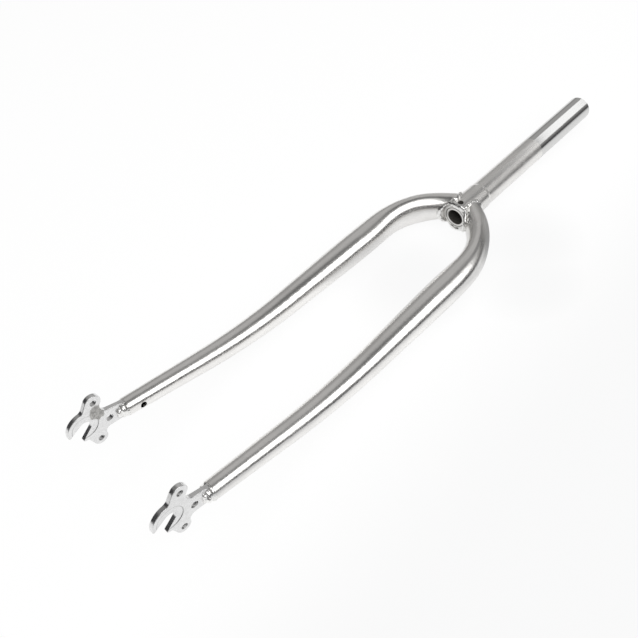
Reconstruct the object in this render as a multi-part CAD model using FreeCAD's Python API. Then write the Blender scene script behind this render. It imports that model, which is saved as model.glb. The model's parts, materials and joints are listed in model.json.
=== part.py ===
"""Bicycle fork lying on its back: welded steel unicrown with a one-inch steerer.

Frame: X runs up the steerer, Z is the fork's front, Y < 0 is the rider's left.
The origin is on the steerer axis at the top edge of the crown race seat.
"""
import FreeCAD, Part
import math
import os

os.makedirs("parts", exist_ok=True)

Vector = FreeCAD.Vector
X_AXIS = Vector(1, 0, 0)
Y_AXIS = Vector(0, 1, 0)
Z_AXIS = Vector(0, 0, 1)

# Steerer tube, millimetres
STEERER_RADIUS = 12.7
STEERER_TOP = 188.0
STEERER_EDGE = 0.8
STEM_BORE_RADIUS = 11.1
STEM_BORE_DEPTH = 130.0
BUTT_LENGTH = 20.0
CROWN_BORE_RADIUS = 8.0
RACE_SEAT_RADIUS = 13.5
RACE_SEAT_LEAD = 3.0
RACE_SEAT_LENGTH = 10.0
CROWN_RADIUS = 13.8
CROWN_DEPTH = 38.5
LOWER_EDGE = 0.8
BRAKE_HOLE_RADIUS = 2.75
BRAKE_HOLE_DROP = 31.0

# Fork blades
BLADE_RADIUS = 14.0
BLADE_END_RADIUS = 7.7
BLADE_WALL = 1.6
BEND_RADIUS = 81.0
BEND_END_DROP = 95.0
BEND_END_Y = 49.4
BEND_HALF_WIDTH = 10.5
BEND_HALF_DEPTH = 16.0
CROWN_END_HALF_HEIGHT = 11.2
CROWN_END_HALF_DEPTH = 13.8
ROUND_RUN = 18.0
STRAIGHT_RUN = 40.0
RAKE_START_DROP = 217.0
RAKE_RADIUS = 450.0
RAKE_ANGLE = 12.9
TAIL_RUN = 74.0
EAR_Y = 7.6
CAVITY_CLEARANCE = 12.0
VENT_RADIUS = 2.7
VENT_FROM_END = 11.5

# Dropout plates, in a frame that runs up the blade end with the axle at zero
HUB_SPACING = 100.0
PLATE_THICKNESS = 4.0
AXLE_BELOW_BLADE = 34.4
AXLE_FORWARD = 5.0
DISC_RADIUS = 14.0
SLOT_RADIUS = 5.2
SLOT_REAR_ANGLE = 43.0
SLOT_FLARE = 6.0
SEAT_RADIUS = 10.6
SEAT_DEPTH = 0.3
EYELET_UP = 9.7
EYELET_OUT = 19.8
FRONT_LOBE_RADIUS = 6.5
REAR_LOBE_RADIUS = 6.0
EYELET_HOLE_RADIUS = 2.6
TANG_REAR = -12.4
TANG_FRONT_ROOT = 8.5
TANG_FRONT_NECK = 3.8
TANG_NECK = 5.0
TANG_INSET = 7.0
TANG_SHY = 0.6
TANG_HOLE_RADIUS = 3.0
TANG_HOLE_UP = 19.7
TANG_HOLE_FORWARD = -4.0
FRONT_CORNER_FILLET = 7.0
REAR_CORNER_FILLET = 4.5
HOOK_FILLET = 4.5
NOTCH_FILLET = 2.0
TIP_FILLET = 1.1
PLATE_EDGE = 0.6

# Weld beads
CROWN_BEAD = 2.2
TIP_BEAD_NOSE = 5.0

# Derived places
STEM_BORE_END = STEERER_TOP - STEM_BORE_DEPTH
BLADE_END_Y = HUB_SPACING / 2 + PLATE_THICKNESS / 2
RAKE = math.radians(RAKE_ANGLE)
BEND_TOP_Y = EAR_Y - 2.0
BEYOND = 60.0


def revolved(points):
    """A solid turned about the X axis from (x, radius) points."""
    corners = [Vector(x, r, 0) for x, r in points]
    face = Part.Face(Part.makePolygon(corners + corners[:1]))
    return face.revolve(Vector(0, 0, 0), X_AXIS, 360)


def cylinder(radius, start, direction, length):
    return Part.makeCylinder(radius, length, start, direction)


def make_steerer():
    bottom = -CROWN_DEPTH
    seat_top = RACE_SEAT_LEAD
    body = revolved([
        (bottom, CROWN_BORE_RADIUS),
        (bottom, CROWN_RADIUS - LOWER_EDGE),
        (bottom + LOWER_EDGE, CROWN_RADIUS),
        (-RACE_SEAT_LENGTH, CROWN_RADIUS),
        (-RACE_SEAT_LENGTH, RACE_SEAT_RADIUS),
        (0, RACE_SEAT_RADIUS),
        (seat_top, STEERER_RADIUS),
        (STEERER_TOP - STEERER_EDGE, STEERER_RADIUS),
        (STEERER_TOP, STEERER_RADIUS - STEERER_EDGE),
        (STEERER_TOP, STEM_BORE_RADIUS),
        (STEM_BORE_END, STEM_BORE_RADIUS),
        (STEM_BORE_END - BUTT_LENGTH, CROWN_BORE_RADIUS),
    ])
    brake_hole = cylinder(BRAKE_HOLE_RADIUS, Vector(-BRAKE_HOLE_DROP, 0, 0), Z_AXIS, BEYOND)
    return body.cut(brake_hole)


class BladePath:
    """Centreline of the blade on the +Y side: crown bend, straight, forward rake, tail."""

    def __init__(self):
        run = BEND_END_DROP
        self.straight = RAKE_START_DROP - BEND_END_DROP
        length = self.straight + RAKE_RADIUS * math.sin(RAKE) + TAIL_RUN * math.cos(RAKE)
        self.flare = math.atan2(BLADE_END_Y - BEND_END_Y, length)
        self.down = Vector(-math.cos(self.flare), math.sin(self.flare), 0)
        self.inward = Vector(-math.sin(self.flare), -math.cos(self.flare), 0)
        self.bend_end = Vector(-run, BEND_END_Y, 0)
        self.centre = self.bend_end + self.inward * BEND_RADIUS
        self.top_angle = self.angle_at(BEND_TOP_Y)
        self.joint_angle = self.angle_at(CROWN_RADIUS)
        self.bend_length = BEND_RADIUS * self.top_angle
        self.joint = self.bend_length - BEND_RADIUS * self.joint_angle
        self.straight = self.straight / math.cos(self.flare)
        self.rake_start = self.bend_length + self.straight
        self.rake_end = self.rake_start + RAKE_RADIUS * RAKE
        self.end = self.rake_end + TAIL_RUN

    def angle_at(self, y):
        """Turn of the bend, counted from its lower end, where it reaches this height of Y."""
        return math.acos((y - self.centre.y) / BEND_RADIUS) - self.flare

    def at(self, s):
        """Place, direction and front-facing normal at a distance from the crown end."""
        if s <= self.bend_length:
            turn = (self.bend_length - s) / BEND_RADIUS
            spoke = self.inward * -math.cos(turn) - self.down * math.sin(turn)
            along = self.down * math.cos(turn) - self.inward * math.sin(turn)
            return self.centre + spoke * BEND_RADIUS, along, Z_AXIS
        if s <= self.rake_start:
            return self.bend_end + self.down * (s - self.bend_length), self.down, Z_AXIS
        start = self.bend_end + self.down * self.straight
        turn = (min(s, self.rake_end) - self.rake_start) / RAKE_RADIUS
        along = self.down * math.cos(turn) + Z_AXIS * math.sin(turn)
        front = Z_AXIS * math.cos(turn) - self.down * math.sin(turn)
        swept = self.down * math.sin(turn) + Z_AXIS * (1 - math.cos(turn))
        place = start + swept * RAKE_RADIUS + along * max(s - self.rake_end, 0)
        return place, along, front

    def half_sizes(self, s):
        """Half width in the bend's plane and half depth front to back."""
        middle = self.bend_length / 2
        round_from = self.bend_length + ROUND_RUN
        taper_from = self.bend_length + STRAIGHT_RUN
        if s <= middle:
            share = eased((s - self.joint) / (middle - self.joint))
            return (mixed(CROWN_END_HALF_HEIGHT, BEND_HALF_WIDTH, share),
                    mixed(CROWN_END_HALF_DEPTH, BEND_HALF_DEPTH, share))
        if s <= taper_from:
            share = eased((s - middle) / (round_from - middle))
            return (mixed(BEND_HALF_WIDTH, BLADE_RADIUS, share),
                    mixed(BEND_HALF_DEPTH, BLADE_RADIUS, share))
        radius = mixed(BLADE_RADIUS, BLADE_END_RADIUS, (s - taper_from) / (self.end - taper_from))
        return radius, radius

    def stations(self, start, stop):
        """Distances for the loft's sections: close in the bends, wide on the straights."""
        knots = [start, self.bend_length, self.rake_start, self.rake_end, stop]
        steps = [8.0, 20.0, 20.0, 20.0]
        found = []
        for low, high, step in zip(knots, knots[1:], steps):
            count = max(1, math.ceil((high - low) / step))
            found += [low + (high - low) * i / count for i in range(count)]
        return found + [stop]


def eased(share):
    share = min(max(share, 0.0), 1.0)
    return share * share * (3 - 2 * share)


def mixed(first, second, share):
    return first + (second - first) * share


def axes_grid(place, first, second, third):
    """Matrix that carries the unit axes to three vectors at a place."""
    return FreeCAD.Matrix(
        first.x, second.x, third.x, place.x,
        first.y, second.y, third.y, place.y,
        first.z, second.z, third.z, place.z,
        0, 0, 0, 1)


def oval(place, along, front, half_width, half_depth):
    """A closed oval wire across the path."""
    grid = axes_grid(place, along.cross(front) * half_width, front * half_depth, along)
    return Part.Wire(Part.makeCircle(1).toNurbs().transformGeometry(grid).Edges)


def blade_loft(path, start, stop, grow):
    wires = []
    for s in path.stations(start, stop):
        width, depth = path.half_sizes(s)
        wires.append(oval(*path.at(s), width + grow, depth + grow))
    return Part.makeLoft(wires, True, False)


def crown_core(radius):
    """The space round the steerer axis at the crown, longer than the crown itself."""
    return cylinder(radius, Vector(-BEND_END_DROP, 0, 0), X_AXIS, BEND_END_DROP + BEYOND)


def beyond_y(y):
    """The half space past a plane across Y, as a large block."""
    reach = STEERER_TOP + RAKE_START_DROP + RAKE_RADIUS
    return Part.makeBox(2 * reach, reach, 2 * reach, Vector(-reach, y, -reach))


def make_blade(path, outside, plate):
    """The right-hand tube, coped to the steerer and with a socket for the dropout's tang."""
    bore = blade_loft(path, path.joint + CAVITY_CLEARANCE, path.end, -BLADE_WALL)
    place = path.at(path.end - VENT_FROM_END)[0]
    vent = cylinder(VENT_RADIUS, place, Y_AXIS * -1, BLADE_RADIUS)
    return outside.cut(crown_core(CROWN_RADIUS)).cut(bore).cut(vent).cut(plate)


def make_crown_bead(path, outside):
    """Fillet of weld between the right-hand blade and the steerer."""
    grown = blade_loft(path, 0, path.bend_length, CROWN_BEAD)
    ring = crown_core(CROWN_RADIUS + CROWN_BEAD).cut(crown_core(CROWN_RADIUS))
    return ring.common(grown).common(beyond_y(EAR_Y - CROWN_BEAD)).cut(outside)


def make_tip_bead(path, plate):
    """Rounded cap of weld on the blade's end, lying against both faces of the tang."""
    rim, nose = Vector(0, BLADE_END_RADIUS, 0), Vector(TIP_BEAD_NOSE, 0, 0)
    shoulder = (rim + nose) * math.sqrt(0.5)
    middle = Vector(0, 0, 0)
    dome = Part.Arc(rim, shoulder, nose).toShape()
    outline = Part.Wire([Part.makeLine(middle, rim), dome, Part.makeLine(nose, middle)])
    cap = Part.Face(outline).revolve(middle, X_AXIS, 360)
    place, along, front = path.at(path.end)
    cap.Placement = FreeCAD.Placement(axes_grid(place, along, front, along.cross(front)))
    return cap.cut(plate)


class DropoutFrame:
    """Plane of the right-hand dropout: p runs up the blade, q runs forward from the axle."""

    def __init__(self, path):
        end = path.at(path.end)[0]
        self.up = Vector(math.cos(RAKE), 0, -math.sin(RAKE))
        self.front = Vector(math.sin(RAKE), 0, math.cos(RAKE))
        foot = Vector(end.x, HUB_SPACING / 2, end.z)
        self.axle = foot - self.up * AXLE_BELOW_BLADE + self.front * AXLE_FORWARD

    def point(self, p, q, y=0):
        return self.axle + self.up * p + self.front * q + Y_AXIS * y

    def measure(self, place):
        """The p and q of a place."""
        arm = place - self.axle
        return arm.dot(self.up), arm.dot(self.front)

    def prism(self, points):
        corners = [self.point(p, q) for p, q in points]
        return Part.Face(Part.makePolygon(corners + corners[:1])).extrude(Y_AXIS * PLATE_THICKNESS)

    def disc(self, p, q, radius, low=0, high=PLATE_THICKNESS):
        return cylinder(radius, self.point(p, q, low), Y_AXIS, high - low)

    def arm(self, p, q, radius):
        """A round-ended arm from the axle to a lobe."""
        share = radius / math.hypot(p, q)
        side_p, side_q = -q * share, p * share
        bar = self.prism([(side_p, side_q), (p + side_p, q + side_q),
                          (p - side_p, q - side_q), (-side_p, -side_q)])
        return bar.fuse(self.disc(p, q, radius))

    def tang(self):
        """The tongue up into the blade, as wide as the blade's end where it goes in."""
        mouth = AXLE_BELOW_BLADE
        neck = mouth - TANG_NECK
        top = mouth + TANG_INSET
        half = BLADE_END_RADIUS - TANG_SHY
        return self.prism([
            (0, TANG_REAR), (0, TANG_FRONT_ROOT), (neck, TANG_FRONT_NECK), (mouth, half - AXLE_FORWARD), (top, half - AXLE_FORWARD),
            (top, -half - AXLE_FORWARD), (mouth, -half - AXLE_FORWARD), (neck, TANG_REAR)])

    def slot(self):
        """Round-ended way for the axle, opening down and back with slightly flared walls."""
        reach = 2 * DISC_RADIUS
        walls = []
        for sign in (1, -1):
            turn = math.radians(SLOT_REAR_ANGLE - sign * SLOT_FLARE)
            run_p, run_q = -math.cos(turn), -math.sin(turn)
            foot = (sign * run_q * SLOT_RADIUS, -sign * run_p * SLOT_RADIUS)
            walls.append(foot)
            walls.append((foot[0] + run_p * reach, foot[1] + run_q * reach))
        first, first_far, second, second_far = walls
        return self.disc(0, 0, SLOT_RADIUS).fuse(self.prism([(0, 0), first, first_far, second_far, second]))


def upright_corners(frame, plate):
    """Edges across the plate at sharp corners of its outline: (edge, p, q, hollow)."""
    found = []
    for edge in plate.Edges:
        if len(edge.Vertexes) != 2:
            continue
        low, high = edge.Vertexes[0].Point, edge.Vertexes[1].Point
        if abs(abs(high.y - low.y) - PLATE_THICKNESS) > 1e-6 or (high - low).cross(Y_AXIS).Length > 1e-6:
            continue
        middle = (low + high) * 0.5
        normals = []
        for face in plate.ancestorsOfType(edge, Part.Face):
            u, v = face.Surface.parameter(middle)
            normals.append(face.normalAt(u, v))
        if len(normals) == 2 and normals[0].getAngle(normals[1]) > math.radians(5):
            probe = middle + (normals[0] - normals[1]).normalize() * 0.05
            p, q = frame.measure(middle)
            found.append((edge, p, q, plate.isInside(probe, 1e-4, False)))
    return found


def make_dropout(frame):
    """The right-hand plate with its hook, axle slot, eyelets, nut seats and tang."""
    neck = AXLE_BELOW_BLADE - TANG_NECK
    plate = frame.tang().fuse(frame.arm(EYELET_UP, EYELET_OUT, FRONT_LOBE_RADIUS))
    plate = plate.fuse(frame.arm(EYELET_UP, -EYELET_OUT, REAR_LOBE_RADIUS)).removeSplitter()
    for q, radius in ((DISC_RADIUS, FRONT_CORNER_FILLET), (-DISC_RADIUS, REAR_CORNER_FILLET)):
        plate = plate.makeFillet(radius, [nearest_corner(frame, plate, EYELET_UP, q, True)])
    plate = plate.fuse(frame.disc(0, 0, DISC_RADIUS)).removeSplitter()
    for q, radius in ((DISC_RADIUS, HOOK_FILLET), (-DISC_RADIUS, NOTCH_FILLET)):
        plate = plate.makeFillet(radius, [nearest_corner(frame, plate, 0, q, True)])
    plate = plate.cut(frame.slot())
    for p, q in ((-DISC_RADIUS, 0), (-NOTCH_FILLET, -DISC_RADIUS)):
        plate = plate.makeFillet(TIP_FILLET, [nearest_corner(frame, plate, p, q, False)])
    plate = plate.makeFillet(PLATE_EDGE, rim_edges(frame, plate, neck))
    for low in (-SEAT_DEPTH, PLATE_THICKNESS - SEAT_DEPTH):
        plate = plate.cut(frame.disc(0, 0, SEAT_RADIUS, low, low + 2 * SEAT_DEPTH))
    for p, q, radius in ((EYELET_UP, EYELET_OUT, EYELET_HOLE_RADIUS),
                         (EYELET_UP, -EYELET_OUT, EYELET_HOLE_RADIUS),
                         (TANG_HOLE_UP, TANG_HOLE_FORWARD, TANG_HOLE_RADIUS)):
        plate = plate.cut(frame.disc(p, q, radius))
    return plate


def nearest_corner(frame, plate, p, q, hollow):
    """The sharp upright edge closest to a place in the plate's plane."""
    choices = [c for c in upright_corners(frame, plate) if c[3] == hollow]
    return min(choices, key=lambda c: math.hypot(c[1] - p, c[2] - q))[0]


def rim_edges(frame, plate, neck):
    """Edges of both flat faces from the hook up to the tang's neck."""
    found = []
    for edge in plate.Edges:
        ends = [v.Point for v in edge.Vertexes]
        flat = max(p.y for p in ends) - min(p.y for p in ends) < 1e-6
        if flat and all(frame.measure(p)[0] < neck + 1e-6 for p in ends):
            found.append(edge)
    return found


def mirrored(shape):
    return shape.mirror(Vector(0, 0, 0), Y_AXIS)


def main():
    path = BladePath()
    frame = DropoutFrame(path)
    make_steerer().exportStep("parts/steerer_tube.step")
    plate = make_dropout(frame)
    outside = blade_loft(path, 0, path.end, 0).common(beyond_y(EAR_Y))
    blade = make_blade(path, outside, plate)
    bead = make_crown_bead(path, outside)
    tip = make_tip_bead(path, plate)
    for name, shape in (("blade", blade), ("crown_weld", bead), ("dropout", plate), ("dropout_weld", tip)):
        shape.exportStep("parts/right_" + name + ".step")
        mirrored(shape).exportStep("parts/left_" + name + ".step")


main()
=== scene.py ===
import json
import math

import bpy
from bpy.props import FloatProperty, FloatVectorProperty, IntProperty, PointerProperty
from mathutils import Matrix, Vector


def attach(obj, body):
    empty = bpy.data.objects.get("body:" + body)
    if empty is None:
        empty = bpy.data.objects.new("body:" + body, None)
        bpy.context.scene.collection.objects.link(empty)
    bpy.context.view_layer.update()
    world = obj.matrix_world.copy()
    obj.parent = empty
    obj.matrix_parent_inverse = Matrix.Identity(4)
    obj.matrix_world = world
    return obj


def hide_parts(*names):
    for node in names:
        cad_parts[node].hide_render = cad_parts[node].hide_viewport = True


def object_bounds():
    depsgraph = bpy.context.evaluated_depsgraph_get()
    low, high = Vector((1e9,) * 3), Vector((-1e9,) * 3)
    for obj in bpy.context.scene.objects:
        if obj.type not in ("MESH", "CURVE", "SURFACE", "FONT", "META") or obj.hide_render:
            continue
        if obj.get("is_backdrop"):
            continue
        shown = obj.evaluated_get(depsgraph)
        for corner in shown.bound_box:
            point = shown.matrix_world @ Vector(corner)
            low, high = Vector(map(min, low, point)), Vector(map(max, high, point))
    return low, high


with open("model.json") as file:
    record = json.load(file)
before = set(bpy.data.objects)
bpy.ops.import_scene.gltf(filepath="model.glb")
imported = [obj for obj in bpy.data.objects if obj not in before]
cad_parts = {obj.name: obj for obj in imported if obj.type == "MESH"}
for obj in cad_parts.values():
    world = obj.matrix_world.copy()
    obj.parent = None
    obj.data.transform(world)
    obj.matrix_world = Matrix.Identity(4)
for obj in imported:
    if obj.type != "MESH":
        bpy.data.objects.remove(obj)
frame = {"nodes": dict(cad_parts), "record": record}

bl_info = {
    "name": "Bicycle fork",
    "version": (1, 0, 0),
    "blender": (4, 5, 0),
    "location": "3D View > Sidebar > Fork",
    "description": "Dresses a welded bicycle fork with plated finishes and weld beads",
    "category": "Object",
}

NODES = frame["nodes"]
MOUNTS = {mount["name"]: mount for mount in frame["record"]["mounts"]}
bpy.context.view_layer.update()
MILLIMETRE = 0.001
WHITE = (1.0, 1.0, 1.0)
LEFT, RIGHT = -1.0, 1.0
FRONT, BACK = 1.0, -1.0


def bore_edge(name, start, end):
    """Distances from a bore's axis, in metres, between which the finish of its wall ends."""
    radius = MOUNTS[name]["dims"]["r_mm"] * MILLIMETRE
    return radius + start, radius + end


# Camera fitted to the 638 x 638 pixel photo: eye in metres, then right, up and back axes.
EYE = Vector((-0.445967, -0.272129, 0.446779))
CAMERA_RIGHT = Vector((0.69360, -0.71329, -0.10066))
CAMERA_UP = Vector((0.60100, 0.49596, 0.62675))
CAMERA_BACK = Vector((-0.39713, -0.49521, 0.77269))
SENSOR_WIDTH_MM = 36.0
NEAREST_SEEN = 0.01

# Limits of the finishes on the steerer, in metres.
STEM_BORE_EDGE = bore_edge("stem_bore", 0.00018, 0.00035)
CROWN_BORE_EDGE = bore_edge("crown_bore", 0.00025, 0.00045)
BRAKE_HOLE_EDGE = bore_edge("brake_hole", 0.00002, 0.00009)
BRAKE_HOLE_X = MOUNTS["brake_hole"]["pos_m"][0]
FRONT_HALF = (0.0, 0.002)
STEM_BORE_FROM = (0.040, 0.042)
CUT_END = (-0.0376, -0.0379)
# A ring of painted shade on the steerer's cut end: its radius, and how far from it it fades, in metres.
END_SHADE_RADIUS = 0.0106
END_SHADE_WIDTH = (0.0002, 0.0005)
BRIGHT_EDGE = 0.0008
BRIGHT_WOBBLE = (-0.0006, 0.0006)

# Crown bend of a blade, seen from the front, where its outside is less polished and where painted shade
# darkens its outermost edge, in metres.
BEND_CENTRE_X = -0.0957
BEND_CENTRE_Y = -0.0316
BEND_RADIUS = 0.081
BEND_OUTSIDE = (BEND_RADIUS - 0.005, BEND_RADIUS + 0.005)
BEND_PAINTED_SHADE = (BEND_RADIUS + 0.0025, BEND_RADIUS + 0.0075)
OUTSIDE_FROM = (-0.075, -0.040)
PAINTED_SHADE_FROM = (-0.085, -0.055)

# Marks on the dropouts, in metres: a thin line of painted shade in the hub seat's corner, and a dull patch.
AXLE_X, _, AXLE_Z = MOUNTS["hub_axle"]["pos_m"]
HUB_SEAT_RADIUS = 0.0106
HUB_SEAT_SHADE_WIDTH = (0.00015, 0.00050)
DULL_PATCH_PLACE = (-0.4094, 0.0500, 0.0464)
DULL_PATCH_TURN = math.radians(12.9)
DULL_PATCH_SIZE = (0.0062, 0.0008, 0.0080)

# Lines of the crown joints, from their tops down: degrees round the steerer from the side, and height in mm.
JOINT_OUTLINE = (
    (40.0, -16.6), (50.0, -18.4), (57.0, -20.6), (60.5, -24.0),
    (61.0, -29.0), (60.0, -34.0), (62.0, -37.0), (76.0, -38.2), (88.0, -38.4),
)
JOINT_UNDERSIDE = (
    (58.0, -35.5), (46.0, -38.6), (34.0, -41.6), (18.0, -44.2), (0.0, -45.2),
)

# Beads of each crown joint: line, distance from the steerer's axis in mm, face of the fork, fullness.
CROWN_BEADS = (
    (JOINT_OUTLINE, 14.9, FRONT, 1.2),
    (JOINT_OUTLINE, 14.0, BACK, 0.8),
    (JOINT_UNDERSIDE, 15.7, FRONT, 0.8),
    (JOINT_UNDERSIDE, 14.9, BACK, 0.8),
)
CROWN_LUMP_OVERLAP = 1.35
CROWN_UNEVENNESS = 0.20
CROWN_DRIFT = 0.0004
CROWN_FIRST_LUMP = 0.4
CROWN_LUMP_GROWTH = 0.12
CROWN_SMOOTHING = 2

# End of the right blade in mm of the CAD frame, with the blade's own directions there.
BLADE_END = Vector((-389.59, 52.0, 27.88))
BLADE_UP = Vector((0.9748, 0.0, -0.2233))
BLADE_FRONT = Vector((0.2233, 0.0, 0.9748))
ACROSS = Vector((0.0, 1.0, 0.0))

# Rings of lumps that close a blade's end: count, radius and distance beyond the end, in metres.
TIP_RINGS = ((9, 0.0048, 0.0004), (8, 0.0041, 0.0034), (6, 0.0026, 0.0062))
TIP_LUMP_LENGTH = 0.0034
TIP_LUMP_HEIGHT = 0.0030
TIP_LUMP_SLIMNESS = 0.85
TIP_UNEVENNESS = 0.16
TIP_SWAY = 0.0005
TIP_ROUNDING = 0.005
TIP_SMOOTHING = 6

# A lump starts as a ball of radius 1 m, whose back is pulled out into a tail.
TAIL_FROM = -0.2
TAIL_PULL = (-0.35, 0.0, -0.12)

# Distance in metres at which the loose corners of a CAD weld merge, and the fewest faces of a good bead.
MERGE_DISTANCE = 0.00001
LEAST_FACES = 100

# The floor, in metres: the grey patches are painted shadow beside the crown, and are measured from the
# floor's middle.
FLOOR_SIZE = 16.0
FLOOR_MIDDLE_X = -0.15
FLOOR_FADE_Y = (-0.05, -0.20)
FLOOR_PAINTED_SHADOWS = ((0.035, -0.008, 0.0), (0.138, -0.070, 0.0), (0.100, -0.104, 0.0))
FLOOR_PAINTED_SHADOW_EDGE = (0.010, 0.085)
WHITE_FOR_CAMERA = 0.92
WHITE_FOR_MIRRORS = 0.55

# The room: a dark band low on the lamps' side and a dark ceiling, whose edges are parts of a unit direction,
# and soft round patches, each with its colour, azimuth, elevation and spread in degrees.
LAMP_SIDE = (-0.26, -0.97, 0.0)
LAMP_SIDE_EDGE = (-0.1, 0.6)
SHADE_TOP = (0.15, 0.40)
CEILING_FOOT = (0.78, 0.93)
ROOM_PATCHES = (
    ("glow", 32.0, 38.0, 32.0),
    ("gloom", 142.0, 12.0, 52.0),
    ("corner", -3.0, 43.0, 14.0),
    ("gleam", -33.0, 35.0, 15.0),
    ("halo", -84.0, 63.0, 20.0),
)
PATCH_SOFTNESS = 0.7

# The curved lamp stands square to the steerer's axis: its place and radii in metres, its arc in degrees.
RIM_LAMP_X = 0.588
RIM_LAMP_RADII = (0.320, 0.478)
RIM_LAMP_START = 139.0
RIM_LAMP_SWEEP = 72.0
RIM_LAMP_STEPS = 24


class FinishValues(bpy.types.PropertyGroup):
    """Colours and gloss of the plated steel."""

    steel: FloatVectorProperty(
        name="Plated steel", description="Colour of the satin plating on the blades",
        subtype="COLOR", size=3, min=0.0, max=1.0, default=(0.88, 0.87, 0.855))
    steerer: FloatVectorProperty(
        name="Steerer steel", description="Colour of the duller plating on the steerer",
        subtype="COLOR", size=3, min=0.0, max=1.0, default=(0.80, 0.791, 0.774))
    bright: FloatVectorProperty(
        name="Bright steel", description="Colour of the polished top of the steerer",
        subtype="COLOR", size=3, min=0.0, max=1.0, default=(0.62, 0.62, 0.615))
    plate: FloatVectorProperty(
        name="Plate steel", description="Colour of the plating on the dropouts",
        subtype="COLOR", size=3, min=0.0, max=1.0, default=(0.80, 0.80, 0.80))
    weld: FloatVectorProperty(
        name="Weld steel", description="Colour of the plating on the weld beads",
        subtype="COLOR", size=3, min=0.0, max=1.0, default=(0.92, 0.915, 0.90))
    dull: FloatVectorProperty(
        name="Dull patch", description="Colour where the plating did not take on one dropout",
        subtype="COLOR", size=3, min=0.0, max=1.0, default=(0.47, 0.465, 0.45))
    inside: FloatVectorProperty(
        name="Inside of the tube", description="Colour of the oiled scale inside the steerer",
        subtype="COLOR", size=3, min=0.0, max=1.0, default=(0.095, 0.09, 0.083))
    satin_roughness: FloatProperty(
        name="Satin roughness", description="Roughness of the satin plating",
        min=0.0, max=1.0, default=0.19)
    steerer_roughness: FloatProperty(
        name="Steerer roughness", description="Roughness of the duller plating on the steerer",
        min=0.0, max=1.0, default=0.25)
    bright_roughness: FloatProperty(
        name="Bright roughness", description="Roughness of the polished plating",
        min=0.0, max=1.0, default=0.12)
    cut_roughness: FloatProperty(
        name="Cut roughness", description="Roughness of the steerer's cut lower end",
        min=0.0, max=1.0, default=0.45)
    inside_roughness: FloatProperty(
        name="Inside roughness", description="Roughness of the oiled scale inside the steerer",
        min=0.0, max=1.0, default=0.62)
    inside_metallic: FloatProperty(
        name="Inside metallic", description="How metallic the oiled scale inside the steerer is",
        min=0.0, max=1.0, default=0.2)
    bend_roughness: FloatProperty(
        name="Bend roughness", description="Roughness of the less polished outside of the crown bends",
        min=0.0, max=1.0, default=0.42)
    plate_roughness: FloatProperty(
        name="Plate roughness", description="Roughness of the plating on the dropouts",
        min=0.0, max=1.0, default=0.17)
    dull_roughness: FloatProperty(
        name="Dull roughness", description="Roughness of the dull patch on one dropout",
        min=0.0, max=1.0, default=0.6)
    weld_roughness: FloatProperty(
        name="Weld roughness", description="Roughness of the plating on the weld beads",
        min=0.0, max=1.0, default=0.20)
    bright_from: FloatProperty(
        name="Bright from", description="Height above the race seat where the bright stretch starts",
        unit="LENGTH", default=0.0943)


class WeldValues(bpy.types.PropertyGroup):
    """Sizes of the weld beads."""

    ripple_step: FloatProperty(
        name="Ripple step", description="Distance between two ripples of a crown bead",
        unit="LENGTH", min=0.0005, default=0.0021)
    crown_width: FloatProperty(
        name="Crown bead width", description="Half width of the bead round each blade at the crown",
        unit="LENGTH", min=0.0005, default=0.0018)
    crown_height: FloatProperty(
        name="Crown bead height", description="Half height of the bead round each blade at the crown",
        unit="LENGTH", min=0.0005, default=0.0024)
    tip_width: FloatProperty(
        name="Tip bead width", description="Half width of the beads that close each blade's end",
        unit="LENGTH", min=0.0005, default=0.0026)
    voxel: FloatProperty(
        name="Fineness", description="Mesh size of a finished bead",
        unit="LENGTH", min=0.0001, default=0.00036)
    lump_rings: IntProperty(
        name="Lump fineness", description="Subdivisions of the ball that a lump starts from",
        min=1, max=4, default=3)


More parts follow.
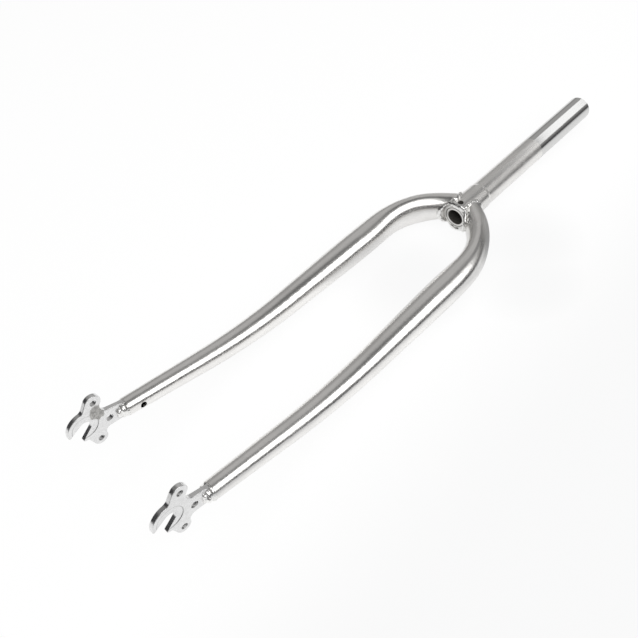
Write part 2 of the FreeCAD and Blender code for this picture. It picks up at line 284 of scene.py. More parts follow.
class StageValues(bpy.types.PropertyGroup):
    """Floor, surroundings, lamps and lens."""

    floor: FloatVectorProperty(
        name="Floor", description="Colour of the floor",
        subtype="COLOR", size=3, min=0.0, max=1.0, default=(0.93, 0.93, 0.93))
    # This grey is also the colour of the painted shadow patches beside the crown.
    table_and_painted_shadow: FloatVectorProperty(
        name="Grey floor", description="Colour of the floor on the camera's side and beside the crown",
        subtype="COLOR", size=3, min=0.0, max=1.0, default=(0.33, 0.335, 0.345))
    room: FloatVectorProperty(
        name="Room", description="Colour of the grey surroundings",
        subtype="COLOR", size=3, min=0.0, max=1.0, default=(0.335, 0.33, 0.325))
    shade: FloatVectorProperty(
        name="Low shade", description="Colour of the dark band low on the lamps' side",
        subtype="COLOR", size=3, min=0.0, max=1.0, default=(0.07, 0.07, 0.073))
    ceiling: FloatVectorProperty(
        name="Ceiling", description="Colour of the darker room overhead",
        subtype="COLOR", size=3, min=0.0, max=1.0, default=(0.13, 0.13, 0.13))
    glow: FloatVectorProperty(
        name="Far glow", description="Colour of the lighter wall on the far side",
        subtype="COLOR", size=3, min=0.0, max=1.0, default=(0.47, 0.465, 0.46))
    gloom: FloatVectorProperty(
        name="Gloom", description="Colour of the dark corner beyond the dropouts",
        subtype="COLOR", size=3, min=0.0, max=1.0, default=(0.05, 0.05, 0.052))
    corner: FloatVectorProperty(
        name="Corner", description="Colour of the dark corner beyond the steerer",
        subtype="COLOR", size=3, min=0.0, max=1.0, default=(0.21, 0.21, 0.212))
    gleam: FloatVectorProperty(
        name="Gleam", description="Colour of the light patch beside the dark corner",
        subtype="COLOR", size=3, min=0.0, max=1.0, default=(0.43, 0.425, 0.42))
    halo: FloatVectorProperty(
        name="Halo", description="Colour of the wall that the main lamp lights above itself",
        subtype="COLOR", size=3, min=0.0, max=1.0, default=(0.62, 0.62, 0.615))
    softbox_power: FloatProperty(
        name="Softbox power", description="Strength of the main lamp",
        unit="POWER", min=0.0, default=5.9)
    rim_power: FloatProperty(
        name="Rim lamp strength", description="Strength of the curved lamp beyond the steerer",
        min=0.0, default=1.5)
    overhead_power: FloatProperty(
        name="Overhead power", description="Strength of the wide lamp above the floor",
        unit="POWER", min=0.0, default=22.0)
    lens: FloatProperty(
        name="Lens", description="Focal length of the camera on a 36 mm sensor",
        unit="CAMERA", min=1.0, default=36.92)


def deselect():
    bpy.ops.object.select_all(action="DESELECT")


def select_only(piece):
    deselect()
    piece.select_set(True)
    bpy.context.view_layer.objects.active = piece


def select_vertices(piece, wanted):
    """Goes to edit mode with the vertices selected whose place passes a test."""
    bpy.ops.object.mode_set(mode="EDIT")
    bpy.ops.mesh.select_mode(type="VERT")
    bpy.ops.mesh.select_all(action="DESELECT")
    bpy.ops.object.mode_set(mode="OBJECT")
    for vertex in piece.data.vertices:
        vertex.select = wanted(vertex.co)
    bpy.ops.object.mode_set(mode="EDIT")


def direction(azimuth, elevation):
    """The direction at an azimuth from X and an elevation, in degrees."""
    turn, rise = math.radians(azimuth), math.radians(elevation)
    flat = math.cos(rise)
    return Vector((math.cos(turn) * flat, math.sin(turn) * flat, math.sin(rise)))


def tinted(colour, factor):
    return tuple(min(1.0, channel * factor) for channel in colour)


def new_group(name, inputs, outputs):
    """An empty shader node group with named sockets; returns it with its two end nodes."""
    group = bpy.data.node_groups.new(name, "ShaderNodeTree")
    for label, kind, value in inputs:
        socket = group.interface.new_socket(label, in_out="INPUT", socket_type=kind)
        if value is not None:
            socket.default_value = value
    for label, kind in outputs:
        group.interface.new_socket(label, in_out="OUTPUT", socket_type=kind)
    start = group.nodes.new("NodeGroupInput")
    end = group.nodes.new("NodeGroupOutput")
    return group, start, end


def add_node(tree, kind, **settings):
    node = tree.nodes.new(kind)
    for label, value in settings.items():
        setattr(node, label, value)
    return node


def feed(tree, socket, value):
    """Links a socket to another one, or sets it to a plain value."""
    if hasattr(value, "links"):
        tree.links.new(value, socket)
    else:
        socket.default_value = value


def mapped(tree, source, reach, result=(0.0, 1.0)):
    """A value moved smoothly from one range to another, held at the ends."""
    node = add_node(tree, "ShaderNodeMapRange", interpolation_type="SMOOTHSTEP")
    feed(tree, node.inputs["Value"], source)
    node.inputs["From Min"].default_value, node.inputs["From Max"].default_value = reach
    node.inputs["To Min"].default_value, node.inputs["To Max"].default_value = result
    return node.outputs["Result"]


def fading(tree, source, reach):
    """A mask that goes from 1 to 0 over a range."""
    return mapped(tree, source, reach, (1.0, 0.0))


def calculated(tree, kind, first, second=0.0):
    """A Math node of sockets or numbers."""
    node = add_node(tree, "ShaderNodeMath", operation=kind)
    feed(tree, node.inputs[0], first)
    feed(tree, node.inputs[1], second)
    return node.outputs[0]


def product(tree, first, second):
    return calculated(tree, "MULTIPLY", first, second)


def away_from(tree, source, middle):
    """How far a value is from a middle value, either way."""
    return calculated(tree, "ABSOLUTE", calculated(tree, "SUBTRACT", source, middle))


def blended(tree, mask, first, second):
    """A colour that goes from the first to the second as the mask goes from 0 to 1."""
    node = add_node(tree, "ShaderNodeMix", data_type="RGBA")
    tree.links.new(mask, node.inputs[0])
    for socket, colour in ((node.inputs[6], first), (node.inputs[7], second)):
        feed(tree, socket, colour if hasattr(colour, "links") else (*colour, 1.0))
    return node.outputs[2]


def mottled(tree, mask, colour, darkest, lightest):
    """A colour that goes from a darker to a lighter shade of itself as the mask goes from 0 to 1."""
    return blended(tree, mask, tinted(colour, darkest), tinted(colour, lightest))


def blended_number(tree, mask, first, second):
    """A number that goes from the first to the second as the mask goes from 0 to 1."""
    node = add_node(tree, "ShaderNodeMix", data_type="FLOAT")
    tree.links.new(mask, node.inputs[0])
    feed(tree, node.inputs[2], first)
    feed(tree, node.inputs[3], second)
    return node.outputs[0]


def noise(tree, vector, scale, detail, roughness=0.55):
    node = add_node(tree, "ShaderNodeTexNoise")
    tree.links.new(vector, node.inputs["Vector"])
    feed(tree, node.inputs["Scale"], scale)
    node.inputs["Detail"].default_value = detail
    node.inputs["Roughness"].default_value = roughness
    return node.outputs["Fac"]


def stretched(tree, vector, scale, rotation=(0.0, 0.0, 0.0)):
    """Coordinates scaled along each axis and turned, in radians."""
    node = add_node(tree, "ShaderNodeMapping")
    tree.links.new(vector, node.inputs["Vector"])
    node.inputs["Scale"].default_value = scale
    node.inputs["Rotation"].default_value = rotation
    return node.outputs["Vector"]


def coordinates(tree, place):
    """The X, Y and Z of a place, by their letters."""
    node = tree.nodes.new("ShaderNodeSeparateXYZ")
    tree.links.new(place, node.inputs["Vector"])
    return {axis: node.outputs[axis] for axis in "XYZ"}


def length_of(tree, vector):
    node = add_node(tree, "ShaderNodeVectorMath", operation="LENGTH")
    tree.links.new(vector, node.inputs[0])
    return node.outputs["Value"]


def flat_distance(tree, parts, **middle):
    """Distance from a line along one axis, whose place on the other two axes is given."""
    flat = tree.nodes.new("ShaderNodeCombineXYZ")
    for axis, value in middle.items():
        tree.links.new(calculated(tree, "SUBTRACT", parts[axis], value), flat.inputs[axis])
    return length_of(tree, flat.outputs["Vector"])


def make_polish_lines():
    """Fine and broad lines of the polishing belt along the tubes."""
    group, start, end = new_group(
        "polish_lines",
        (("Vector", "NodeSocketVector", None),),
        (("Height", "NodeSocketFloat"), ("Streak", "NodeSocketFloat")))
    place = start.outputs["Vector"]
    fine = noise(group, stretched(group, place, (60.0, 1500.0, 1500.0)), scale=1.0, detail=3.0)
    broad = noise(group, stretched(group, place, (14.0, 260.0, 260.0)), scale=1.0, detail=2.0)
    streak = calculated(group, "ADD", product(group, fine, 0.6), product(group, broad, 0.4))
    group.links.new(streak, end.inputs["Streak"])
    group.links.new(fine, end.inputs["Height"])
    return group


def make_handling_marks():
    """Sparse hairline scratches and cloudy smudges from storage and shipping."""
    group, start, end = new_group(
        "handling_marks",
        (("Vector", "NodeSocketVector", None),),
        (("Scratch", "NodeSocketFloat"), ("Smudge", "NodeSocketFloat")))
    place = start.outputs["Vector"]
    cells = add_node(group, "ShaderNodeTexVoronoi", feature="DISTANCE_TO_EDGE")
    skew = stretched(group, place, (38.0, 120.0, 95.0), (0.5, 0.35, 0.6))
    group.links.new(skew, cells.inputs["Vector"])
    cells.inputs["Scale"].default_value = 1.0
    hair = fading(group, cells.outputs["Distance"], (0.0, 0.012))
    patches = noise(group, place, scale=46.0, detail=3.0)
    where = mapped(group, patches, (0.55, 0.66))
    group.links.new(product(group, hair, where), end.inputs["Scratch"])
    cloud = noise(group, stretched(group, place, (24.0, 60.0, 60.0)), scale=1.0, detail=5.0, roughness=0.62)
    group.links.new(mapped(group, cloud, (0.46, 0.70)), end.inputs["Smudge"])
    return group


def make_cast_skin():
    """Pits and pimples of rough metal, for weld beads and stamped plates."""
    group, start, end = new_group(
        "cast_skin",
        (("Vector", "NodeSocketVector", None), ("Scale", "NodeSocketFloat", 400.0)),
        (("Height", "NodeSocketFloat"), ("Pit", "NodeSocketFloat")))
    coarse = noise(group, start.outputs["Vector"], start.outputs["Scale"], detail=4.0, roughness=0.6)
    group.links.new(coarse, end.inputs["Height"])
    group.links.new(mapped(group, coarse, (0.40, 0.30)), end.inputs["Pit"])
    return group


def shared(name, maker):
    """The node group of that name, built the first time it is asked for."""
    group = bpy.data.node_groups.get(name)
    return group if group else maker()


def place_group(tree, group, vector):
    node = tree.nodes.new("ShaderNodeGroup")
    node.node_tree = group
    tree.links.new(vector, node.inputs["Vector"])
    return node


def new_material(name):
    """A material with nodes; returns it with its tree."""
    material = bpy.data.materials.new(name)
    material.use_nodes = True
    return material, material.node_tree


def new_metal(name):
    """A metal material; returns it with its tree, Principled shader and Object coordinates."""
    material, tree = new_material(name)
    shader = tree.nodes["Principled BSDF"]
    shader.inputs["Metallic"].default_value = 1.0
    shader.inputs["IOR"].default_value = 1.5
    place = tree.nodes.new("ShaderNodeTexCoord").outputs["Object"]
    return material, tree, shader, place


def add_bump(tree, shader, height, strength, distance):
    bump = tree.nodes.new("ShaderNodeBump")
    bump.inputs["Strength"].default_value = strength
    bump.inputs["Distance"].default_value = distance
    tree.links.new(height, bump.inputs["Height"])
    tree.links.new(bump.outputs["Normal"], shader.inputs["Normal"])


def roughened(tree, roughness, *marks):
    """A roughness with shares of some marks added to it, each given as a socket and its share."""
    for mark, share in marks:
        roughness = calculated(tree, "ADD", roughness, product(tree, mark, share))
    return roughness


def plated_tube(tree, shader, place, colour, roughness):
    """Wires the plated finish of a tube; returns the sockets of its colour and roughness."""
    lines = place_group(tree, shared("polish_lines", make_polish_lines), place).outputs
    marks = place_group(tree, shared("handling_marks", make_handling_marks), place).outputs
    tone = mapped(tree, lines["Streak"], (0.38, 0.62))
    base = mottled(tree, tone, colour, darkest=0.955, lightest=1.03)
    smudged = blended(tree, marks["Smudge"], base, tinted(colour, 0.93))
    scored = blended(tree, marks["Scratch"], smudged, tinted(colour, 1.10))
    rough = roughened(
        tree, roughness, (marks["Smudge"], 0.05), (lines["Streak"], 0.05), (marks["Scratch"], 0.12))
    add_bump(tree, shader, lines["Height"], strength=0.06, distance=0.00004)
    return scored, rough


def dress(names, material):
    """Puts one material on CAD nodes."""
    for name in names:
        mesh = NODES[name].data
        mesh.materials.clear()
        mesh.materials.append(material)


def bore_walls(tree, parts, radius):
    """Mask of the walls of the steerer's two bores and of the small hole in the front of the crown."""
    lower = fading(tree, radius, CROWN_BORE_EDGE)
    upper = product(tree, fading(tree, radius, STEM_BORE_EDGE), mapped(tree, parts["X"], STEM_BORE_FROM))
    hole = fading(tree, flat_distance(tree, parts, X=BRAKE_HOLE_X, Y=0.0), BRAKE_HOLE_EDGE)
    hole = product(tree, hole, mapped(tree, parts["Z"], FRONT_HALF))
    return calculated(tree, "MAXIMUM", calculated(tree, "MAXIMUM", lower, upper), hole)


class FORK_OT_steerer_finish(bpy.types.Operator):
    """Give the steerer its satin plating, bright top stretch and dark bore"""

    bl_idname = "fork.steerer_finish"
    bl_label = "Finish the steerer"

    def execute(self, context):
        values = context.scene.fork_finish
        material, tree, shader, place = new_metal("steerer_plating")
        colour, rough = plated_tube(tree, shader, place, values.steerer, values.steerer_roughness)
        parts = coordinates(tree, place)
        radius = flat_distance(tree, parts, Y=0.0, Z=0.0)

        wobble = mapped(tree, noise(tree, place, scale=160.0, detail=2.0), (0.3, 0.7), BRIGHT_WOBBLE)
        edge = calculated(tree, "ADD", parts["X"], wobble)
        reach = (values.bright_from - BRIGHT_EDGE, values.bright_from + BRIGHT_EDGE)
        bright = mapped(tree, edge, reach)
        colour = blended(tree, bright, colour, values.bright)
        rough = blended_number(tree, bright, rough, values.bright_roughness)

        cut = mapped(tree, parts["X"], CUT_END)
        # Painted shade: a thin dark ring on the cut end, in the inside colour.
        end_shade_line = product(tree, fading(tree, away_from(tree, radius, END_SHADE_RADIUS), END_SHADE_WIDTH), cut)
        colour = blended(tree, cut, colour, values.steerer)
        colour = blended(tree, end_shade_line, colour, values.inside)
        rough = blended_number(tree, cut, rough, values.cut_roughness)

        bore = bore_walls(tree, parts, radius)
        colour = blended(tree, bore, colour, values.inside)
        rough = blended_number(tree, bore, rough, values.inside_roughness)
        metallic = mapped(tree, bore, (0.0, 1.0), (1.0, values.inside_metallic))
        tree.links.new(colour, shader.inputs["Base Color"])
        tree.links.new(rough, shader.inputs["Roughness"])
        tree.links.new(metallic, shader.inputs["Metallic"])
        dress(("steerer_tube",), material)
        return {"FINISHED"}


def outer_bend(tree, place):
    """Masks of the less polished outside of each blade's crown bend, and of its outermost edge, darkened
    with painted shade.
    """
    parts = coordinates(tree, place)
    parts["Y"] = calculated(tree, "ABSOLUTE", parts["Y"])
    radius = flat_distance(tree, parts, X=BEND_CENTRE_X, Y=BEND_CENTRE_Y)
    outside = product(tree, mapped(tree, radius, BEND_OUTSIDE), mapped(tree, parts["X"], OUTSIDE_FROM))
    painted_shade_edge = product(tree, mapped(tree, radius, BEND_PAINTED_SHADE), mapped(tree, parts["X"], PAINTED_SHADE_FROM))
    return outside, painted_shade_edge


class FORK_OT_blade_finish(bpy.types.Operator):
    """Give both blades their satin plating"""

    bl_idname = "fork.blade_finish"
    bl_label = "Finish the blades"

    def execute(self, context):
        values = context.scene.fork_finish
        material, tree, shader, place = new_metal("blade_plating")
        colour, rough = plated_tube(tree, shader, place, values.steel, values.satin_roughness)
        outside, painted_shade_edge = outer_bend(tree, place)
        colour = blended(tree, outside, colour, tinted(values.steerer, 1.12))
        # Painted shade: the outermost edge of each crown bend is darkened in its colour.
        colour = blended(tree, painted_shade_edge, colour, tinted(values.steerer, 0.40))
        rough = blended_number(tree, outside, rough, values.bend_roughness)
        tree.links.new(colour, shader.inputs["Base Color"])
        tree.links.new(rough, shader.inputs["Roughness"])
        dress(("left_blade", "right_blade"), material)
        return {"FINISHED"}


def hub_seat_shade(tree, place):
    """Mask of a thin line of painted shade in the corner of the hub seat's step."""
    radius = flat_distance(tree, coordinates(tree, place), X=AXLE_X, Z=AXLE_Z)
    return fading(tree, away_from(tree, radius, HUB_SEAT_RADIUS), HUB_SEAT_SHADE_WIDTH)


def dull_patch(tree, place):
    """Mask of the patch below the front eyelet on the right dropout's inner face."""
    shift = add_node(tree, "ShaderNodeMapping", vector_type="TEXTURE")
    tree.links.new(place, shift.inputs["Vector"])
    shift.inputs["Location"].default_value = DULL_PATCH_PLACE
    shift.inputs["Rotation"].default_value = (0.0, DULL_PATCH_TURN, 0.0)
    shift.inputs["Scale"].default_value = DULL_PATCH_SIZE
    wobble = noise(tree, place, scale=260.0, detail=3.0, roughness=0.5)
    wobble = mapped(tree, wobble, (0.3, 0.7), (-0.10, 0.10))
    edge = calculated(tree, "ADD", length_of(tree, shift.outputs["Vector"]), wobble)
    return fading(tree, edge, (0.92, 1.08))


class FORK_OT_dropout_finish(bpy.types.Operator):
    """Give both dropouts their plating over stamped plate"""

    bl_idname = "fork.dropout_finish"
    bl_label = "Finish the dropouts"

    def execute(self, context):
        values = context.scene.fork_finish
        material, tree, shader, place = new_metal("dropout_plating")
        skin = place_group(tree, shared("cast_skin", make_cast_skin), place)
        skin.inputs["Scale"].default_value = 420.0
        height = skin.outputs["Height"]
        marks = place_group(tree, shared("handling_marks", make_handling_marks), place).outputs

        tone = mapped(tree, height, (0.35, 0.65))
        colour = mottled(tree, tone, values.plate, darkest=0.93, lightest=1.03)
        colour = blended(tree, marks["Smudge"], colour, tinted(values.plate, 0.94))
        colour = blended(tree, marks["Scratch"], colour, tinted(values.plate, 0.80))
        # Painted shade: a darker line in the corner of the hub seat's step.
        colour = blended(tree, hub_seat_shade(tree, place), colour, tinted(values.plate, 0.62))
        rough = roughened(tree, values.plate_roughness, (height, 0.12), (marks["Smudge"], 0.08))

        dull = dull_patch(tree, place)
        specks = mapped(tree, noise(tree, place, scale=380.0, detail=4.0, roughness=0.7), (0.36, 0.64))
        grey = mottled(tree, specks, values.dull, darkest=0.76, lightest=1.28)
        colour = blended(tree, dull, colour, grey)
        rough = blended_number(tree, dull, rough, values.dull_roughness)
        tree.links.new(colour, shader.inputs["Base Color"])
        tree.links.new(rough, shader.inputs["Roughness"])
        add_bump(tree, shader, height, strength=0.12, distance=0.0001)
        dress(("left_dropout", "right_dropout"), material)
        return {"FINISHED"}


def weld_finish(values):
    """Plated weld metal, lighter on its crests, with painted shade darkening its pits, built the first time
    it is asked for.
    """
    material = bpy.data.materials.get("weld_plating")
    if material:
        return material
    material, tree, shader, place = new_metal("weld_plating")
    skin = place_group(tree, shared("cast_skin", make_cast_skin), place)
    skin.inputs["Scale"].default_value = 620.0
    height, pit = skin.outputs["Height"], skin.outputs["Pit"]
    tone = mapped(tree, height, (0.35, 0.65))
    colour = mottled(tree, tone, values.weld, darkest=0.90, lightest=1.04)
    # Painted shade: the pits of the bead's skin are darkened in colour.
    colour = blended(tree, pit, colour, tinted(values.weld, 0.45))
    rough = roughened(tree, values.weld_roughness, (pit, 0.3))
    tree.links.new(colour, shader.inputs["Base Color"])
    tree.links.new(rough, shader.inputs["Roughness"])
    add_bump(tree, shader, height, strength=0.14, distance=0.00025)
    return material


def make_lump(rings):
    """One frozen puddle of weld: a ball with its back pulled out into a tail."""
    deselect()
    bpy.ops.mesh.primitive_ico_sphere_add(subdivisions=rings, radius=1.0, location=(0.0, 0.0, 0.0))
    lump = bpy.context.object
    select_vertices(lump, lambda place: place.x < TAIL_FROM)
    bpy.ops.transform.translate(value=TAIL_PULL)
    bpy.ops.mesh.select_all(action="SELECT")
    bpy.ops.mesh.vertices_smooth(factor=0.4, repeat=2)
    bpy.ops.object.mode_set(mode="OBJECT")
    return lump


def lump_at(pattern, place, along, outward, length, width, height):
    """A copy of the lump, with its own mesh, lying on the joint."""
    copy = pattern.copy()
    copy.data = pattern.data.copy()
    bpy.context.collection.objects.link(copy)
    along = along.normalized()
    across = outward.cross(along).normalized()
    outward = along.cross(across)
    turn = Matrix((along, across, outward)).transposed().to_4x4()
    size = Matrix.Diagonal((length, width, height, 1.0))
    copy.matrix_world = Matrix.Translation(place) @ turn @ size
    return copy


def solid_copy(name):
    """A copy of a CAD weld with its loose triangles merged."""
    source = NODES[name]
    copy = source.copy()
    copy.data = source.data.copy()
    copy.parent = None
    for key in list(copy.keys()):
        del copy[key]
    bpy.context.collection.objects.link(copy)
    select_only(copy)
    bpy.ops.object.mode_set(mode="EDIT")
    bpy.ops.mesh.select_all(action="SELECT")
    bpy.ops.mesh.remove_doubles(threshold=MERGE_DISTANCE)
    bpy.ops.object.mode_set(mode="OBJECT")
    return copy


def fuse(solid, lumps, name, voxel, smoothing, material):
    """Joins the lumps to the bead's body and runs them into one smooth skin."""
    deselect()
    for lump in lumps:
        lump.select_set(True)
    solid.select_set(True)
    bpy.context.view_layer.objects.active = solid
    bpy.ops.object.transform_apply(location=True, rotation=True, scale=True)
    bpy.ops.object.join()
    solid.name = name
    solid.data.name = name
    select_only(solid)
    bpy.ops.object.modifier_add(type="REMESH")
    remesh = solid.modifiers[-1]
    remesh.mode = "VOXEL"
    remesh.voxel_size = voxel
    remesh.use_smooth_shade = True
    bpy.ops.object.modifier_apply(modifier=remesh.name)
    bpy.ops.object.modifier_add(type="SMOOTH")
    smooth = solid.modifiers[-1]
    smooth.factor = 0.5
    smooth.iterations = smoothing
    bpy.ops.object.modifier_apply(modifier=smooth.name)
    bpy.ops.object.shade_smooth()
    solid.data.materials.clear()
    solid.data.materials.append(material)
    if len(solid.data.polygons) < LEAST_FACES:
        raise RuntimeError(name + " came out empty")
    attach(solid, "root")
    return solid


def wavering(index, seed):
    """An uneven but repeatable number between -1 and 1, for the welder's hand."""
    return math.sin(index * 2.399 + seed) * 0.6 + math.sin(index * 1.117 + 2.0 * seed) * 0.4


def spaced(points, step):
    """Places every step along a line of points, with the direction there."""
    places = []
    spare = 0.0
    for first, second in zip(points, points[1:]):
        length = (second - first).length
        along = (second - first) / length
        while spare < length:
            places.append((first + along * spare, along))
            spare += step
        spare -= length
    return places


def crown_line(outline, radius, side, face):
    """Points of a joint between one blade and the steerer, on the front or back of the fork."""
    points = []
    for angle, height in outline:
        turn = math.radians(angle)
        y = radius * math.cos(turn) * side
        z = radius * math.sin(turn) * face
        points.append(Vector((height, y, z)) * MILLIMETRE)
    return points


def bead_lumps(values, pattern, line, side, face, fill):
    """Lumps of one crown bead, laid along its line and growing from its start."""
    lumps = []
    for index, (place, along) in enumerate(spaced(line, values.ripple_step)):
        outward = Vector((0.0, place.y, place.z)).normalized()
        swell = 1.0 + CROWN_UNEVENNESS * wavering(index, side + 3.0 * face)
        size = fill * min(1.0, CROWN_FIRST_LUMP + CROWN_LUMP_GROWTH * index)
        drift = along.cross(outward) * CROWN_DRIFT * wavering(index, 5.0 * side + face)
        length = values.ripple_step * CROWN_LUMP_OVERLAP
        width = values.crown_width * swell * size
        height = values.crown_height * (2.0 - swell) * size
        lumps.append(lump_at(pattern, place + drift, along, outward, length, width, height))
    return lumps


def crown_lumps(values, pattern, side):
    """Lumps of all the beads that join one blade to the steerer."""
    lumps = []
    for outline, radius, face, fill in CROWN_BEADS:
        line = crown_line(outline, radius, side, face)
        lumps += bead_lumps(values, pattern, line, side, face, fill)
    return lumps


def add_beads(scene, names, lay_lumps, smoothing):
    """Models the left and the right bead of one kind over their CAD welds, which they replace."""
    values = scene.fork_weld
    pattern = make_lump(values.lump_rings)
    material = weld_finish(scene.fork_finish)
    for name, side in zip(names, (LEFT, RIGHT)):
        lumps = lay_lumps(values, pattern, side)
        solid = solid_copy(name)
        piece = fuse(solid, lumps, name + "_bead", values.voxel, smoothing, material)
        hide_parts(name)
    bpy.data.objects.remove(pattern)


class FORK_OT_crown_welds(bpy.types.Operator):
    """Model the rippled beads that join the blades to the steerer"""

    bl_idname = "fork.crown_welds"
    bl_label = "Model the crown welds"

    def execute(self, context):
        names = ("left_crown_weld", "right_crown_weld")
        add_beads(context.scene, names, crown_lumps, CROWN_SMOOTHING)
        return {"FINISHED"}


def tip_lumps(values, pattern, side):
    """Lumps of the bead that closes one blade's end, in rings that narrow towards the dropout."""
    middle = Vector((BLADE_END.x, BLADE_END.y * side, BLADE_END.z)) * MILLIMETRE
    lumps = []
    for count, radius, beyond in TIP_RINGS:
        for index in range(count):
            turn = 2.0 * math.pi * index / count
            outward = BLADE_FRONT * math.cos(turn) + ACROSS * math.sin(turn)
            along = BLADE_FRONT * -math.sin(turn) + ACROSS * math.cos(turn)
            swell = 1.0 + TIP_UNEVENNESS * wavering(index, side + 300.0 * radius)
            sway = TIP_SWAY * wavering(index, 2.0 * side + 700.0 * radius)
            place = middle + outward * radius - BLADE_UP * (beyond + sway)
            tilt = (outward - BLADE_UP * beyond / TIP_ROUNDING).normalized()
            width = values.tip_width * TIP_LUMP_SLIMNESS * swell
            height = TIP_LUMP_HEIGHT * swell
            lumps.append(lump_at(pattern, place, along, tilt, TIP_LUMP_LENGTH, width, height))
    return lumps


class FORK_OT_dropout_welds(bpy.types.Operator):
    """Model the lumpy beads that close the blade ends round the dropouts"""

    bl_idname = "fork.dropout_welds"
    bl_label = "Model the dropout welds"

    def execute(self, context):
        names = ("left_dropout_weld", "right_dropout_weld")
        add_beads(context.scene, names, tip_lumps, TIP_SMOOTHING)
        return {"FINISHED"}


def floor_grey_and_painted_shadow(tree, place):
    """Mask of the floor's grey parts: a fade on the camera's side, and soft patches of painted shadow beside
    the crown.
    """
    grey = mapped(tree, coordinates(tree, place)["Y"], FLOOR_FADE_Y)
    for middle in FLOOR_PAINTED_SHADOWS:
        distance = add_node(tree, "ShaderNodeVectorMath", operation="DISTANCE")
        tree.links.new(place, distance.inputs[0])
        distance.inputs[1].default_value = middle
        patch = fading(tree, distance.outputs["Value"], FLOOR_PAINTED_SHADOW_EDGE)
        grey = calculated(tree, "MAXIMUM", grey, patch)
    return grey


def white_share(tree):
    """How much of the floor's colour is plain white, for the camera and for what metal mirrors."""
    path = tree.nodes.new("ShaderNodeLightPath").outputs
    mirrored = calculated(tree, "MAXIMUM", path["Is Glossy Ray"], path["Is Transmission Ray"])
    mirrored = product(tree, mirrored, WHITE_FOR_MIRRORS)
    direct = product(tree, path["Is Camera Ray"], WHITE_FOR_CAMERA)
    return calculated(tree, "MAXIMUM", direct, mirrored)


def add_floor(values):
    """A wide pale floor at the fork's lowest point, that keeps the fork's shadow."""
    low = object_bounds()[0][2]
    deselect()
    bpy.ops.mesh.primitive_plane_add(size=FLOOR_SIZE, location=(FLOOR_MIDDLE_X, 0.0, low))
    floor = bpy.context.object
    floor.name = "floor"
    material, tree = new_material("pale_floor")
    shader = tree.nodes["Principled BSDF"]
    place = tree.nodes.new("ShaderNodeTexCoord").outputs["Object"]
    grey = floor_grey_and_painted_shadow(tree, place)
    # The grey parts include the painted shadow patches beside the crown.
    tree.links.new(blended(tree, grey, values.floor, values.table_and_painted_shadow), shader.inputs["Base Color"])
    shader.inputs["Roughness"].default_value = 0.9
    shader.inputs["Specular IOR Level"].default_value = 0.0
    glow = tree.nodes.new("ShaderNodeEmission")
    glow.inputs["Color"].default_value = (*WHITE, 1.0)
    glow.inputs["Strength"].default_value = 1.0
    mix = tree.nodes.new("ShaderNodeMixShader")
    tree.links.new(white_share(tree), mix.inputs[0])
    tree.links.new(shader.outputs["BSDF"], mix.inputs[1])
    tree.links.new(glow.outputs["Emission"], mix.inputs[2])
    tree.links.new(mix.outputs["Shader"], tree.nodes["Material Output"].inputs["Surface"])
    floor.data.materials.append(material)
    floor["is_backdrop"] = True


def facing(tree, place, towards, reach):
    """Mask of the directions that lie close to one direction, by the cosine between them."""
    node = add_node(tree, "ShaderNodeVectorMath", operation="DOT_PRODUCT")
    tree.links.new(place, node.inputs[0])
    node.inputs[1].default_value = towards
    return mapped(tree, node.outputs["Value"], reach)


def room_patch(tree, place, azimuth, elevation, spread):
    """Mask of a round soft-edged patch of the surroundings, by its direction and half width in degrees."""
    edge = math.cos(math.radians(spread))
    reach = (edge, edge + (1.0 - edge) * PATCH_SOFTNESS)
    return facing(tree, place, direction(azimuth, elevation), reach)


def add_room(values):
    """Grey surroundings, dark low down on the lamps' side and overhead, for the metal to mirror."""
    world = bpy.data.worlds.new("grey_room")
    bpy.context.scene.world = world
    world.use_nodes = True
    tree = world.node_tree
    place = tree.nodes.new("ShaderNodeTexCoord").outputs["Generated"]
    height = coordinates(tree, place)["Z"]
    side = facing(tree, place, LAMP_SIDE, LAMP_SIDE_EDGE)
    band = product(tree, side, fading(tree, height, SHADE_TOP))
    colour = blended(tree, band, values.room, values.shade)
    colour = blended(tree, mapped(tree, height, CEILING_FOOT), colour, values.ceiling)
    for name, azimuth, elevation, spread in ROOM_PATCHES:
        patch = room_patch(tree, place, azimuth, elevation, spread)
        colour = blended(tree, patch, colour, getattr(values, name))
    background = tree.nodes["Background"]
    tree.links.new(colour, background.inputs["Color"])
    background.inputs["Strength"].default_value = 1.0


def add_lamp(name, target, azimuth, elevation, distance, width, height, power):
    """A rectangular lamp that faces a target from a direction in degrees, hidden from the camera."""
    towards = direction(azimuth, elevation)
    lamp = bpy.data.lights.new(name, "AREA")
    lamp.shape = "RECTANGLE"
    lamp.size = width
    lamp.size_y = height
    lamp.energy = power
    holder = bpy.data.objects.new(name, lamp)
    bpy.context.collection.objects.link(holder)
    holder.location = Vector(target) + towards * distance
    holder.rotation_euler = towards.to_track_quat("Z", "Y").to_euler()
    holder.visible_camera = False
    return holder


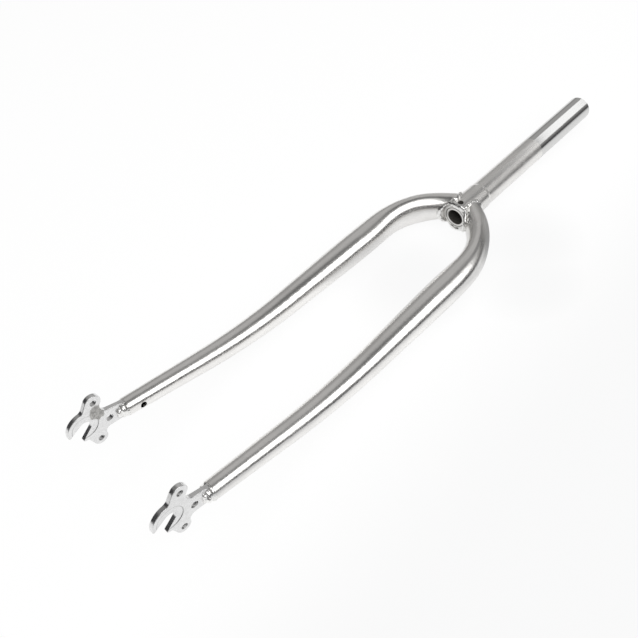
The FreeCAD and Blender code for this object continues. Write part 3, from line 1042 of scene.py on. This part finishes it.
def add_rim_lamp(values):
    """A curved lamp beyond the steerer's top, which lights the steerer alone."""
    deselect()
    bpy.ops.mesh.primitive_plane_add(size=1.0, location=(0.0, 0.0, 0.0))
    lamp = bpy.context.object
    lamp.name = "rim_lamp"
    select_vertices(lamp, lambda place: place.x > 0.0)
    bpy.ops.mesh.delete(type="VERT")
    bpy.ops.object.mode_set(mode="OBJECT")
    start = math.radians(RIM_LAMP_START)
    for vertex, radius in zip(lamp.data.vertices, RIM_LAMP_RADII):
        vertex.co = (RIM_LAMP_X, radius * math.cos(start), radius * math.sin(start))
    bpy.ops.object.mode_set(mode="EDIT")
    bpy.ops.mesh.select_all(action="SELECT")
    bpy.ops.mesh.spin(
        steps=RIM_LAMP_STEPS, angle=math.radians(RIM_LAMP_SWEEP),
        center=(RIM_LAMP_X, 0.0, 0.0), axis=(1.0, 0.0, 0.0))
    bpy.ops.object.mode_set(mode="OBJECT")
    material, tree = new_material("lamp_white")
    glow = tree.nodes.new("ShaderNodeEmission")
    glow.inputs["Strength"].default_value = values.rim_power
    tree.links.new(glow.outputs["Emission"], tree.nodes["Material Output"].inputs["Surface"])
    lamp.data.materials.append(material)
    lit = bpy.data.collections.new("lit_by_rim_lamp")
    lit.objects.link(NODES["steerer_tube"])
    lamp.light_linking.receiver_collection = lit
    lamp.visible_camera = False
    lamp.visible_diffuse = False
    lamp.visible_shadow = False
    lamp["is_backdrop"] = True


def add_camera(values):
    camera = bpy.data.cameras.new("photo_camera")
    camera.sensor_width = SENSOR_WIDTH_MM
    camera.lens = values.lens
    camera.clip_start = NEAREST_SEEN
    holder = bpy.data.objects.new("photo_camera", camera)
    bpy.context.collection.objects.link(holder)
    turn = Matrix((CAMERA_RIGHT, CAMERA_UP, CAMERA_BACK)).transposed()
    holder.matrix_world = Matrix.Translation(EYE) @ turn.to_4x4()
    bpy.context.scene.camera = holder


class FORK_OT_stage(bpy.types.Operator):
    """Add the floor, the grey room, the lamps and the camera"""

    bl_idname = "fork.stage"
    bl_label = "Set the stage"

    def execute(self, context):
        values = context.scene.fork_stage
        context.scene.view_settings.view_transform = "Standard"
        add_floor(values)
        add_room(values)
        add_lamp(
            "softbox", target=(-0.2, 0.0, 0.02), azimuth=-80.0, elevation=42.0, distance=1.1,
            width=1.40, height=0.8, power=values.softbox_power)
        add_rim_lamp(values)
        overhead = add_lamp(
            "overhead", target=(FLOOR_MIDDLE_X, 0.0, 0.0), azimuth=0.0, elevation=90.0, distance=1.5,
            width=2.0, height=2.0, power=values.overhead_power)
        overhead.visible_glossy = False
        add_camera(values)
        return {"FINISHED"}


class FORK_PT_parts(bpy.types.Panel):
    """Lists the fork's operators and values in the sidebar"""

    bl_idname = "FORK_PT_parts"
    bl_label = "Bicycle fork"
    bl_space_type = "VIEW_3D"
    bl_region_type = "UI"
    bl_category = "Fork"

    def draw(self, context):
        scene = context.scene
        for operator in OPERATORS:
            self.layout.operator(operator.bl_idname)
        for values in (scene.fork_finish, scene.fork_weld, scene.fork_stage):
            box = self.layout.box()
            for name in values.__annotations__:
                box.prop(values, name)


OPERATORS = (
    FORK_OT_steerer_finish,
    FORK_OT_blade_finish,
    FORK_OT_dropout_finish,
    FORK_OT_crown_welds,
    FORK_OT_dropout_welds,
    FORK_OT_stage,
)
CLASSES = (FinishValues, WeldValues, StageValues, *OPERATORS, FORK_PT_parts)


def register():
    for item in CLASSES:
        bpy.utils.register_class(item)
    bpy.types.Scene.fork_finish = PointerProperty(type=FinishValues)
    bpy.types.Scene.fork_weld = PointerProperty(type=WeldValues)
    bpy.types.Scene.fork_stage = PointerProperty(type=StageValues)


def unregister():
    del bpy.types.Scene.fork_stage
    del bpy.types.Scene.fork_weld
    del bpy.types.Scene.fork_finish
    for item in reversed(CLASSES):
        bpy.utils.unregister_class(item)


def main():
    register()
    bpy.ops.fork.steerer_finish()
    bpy.ops.fork.blade_finish()
    bpy.ops.fork.dropout_finish()
    bpy.ops.fork.crown_welds()
    bpy.ops.fork.dropout_welds()
    bpy.ops.fork.stage()


if __name__ == "__main__":
    main()
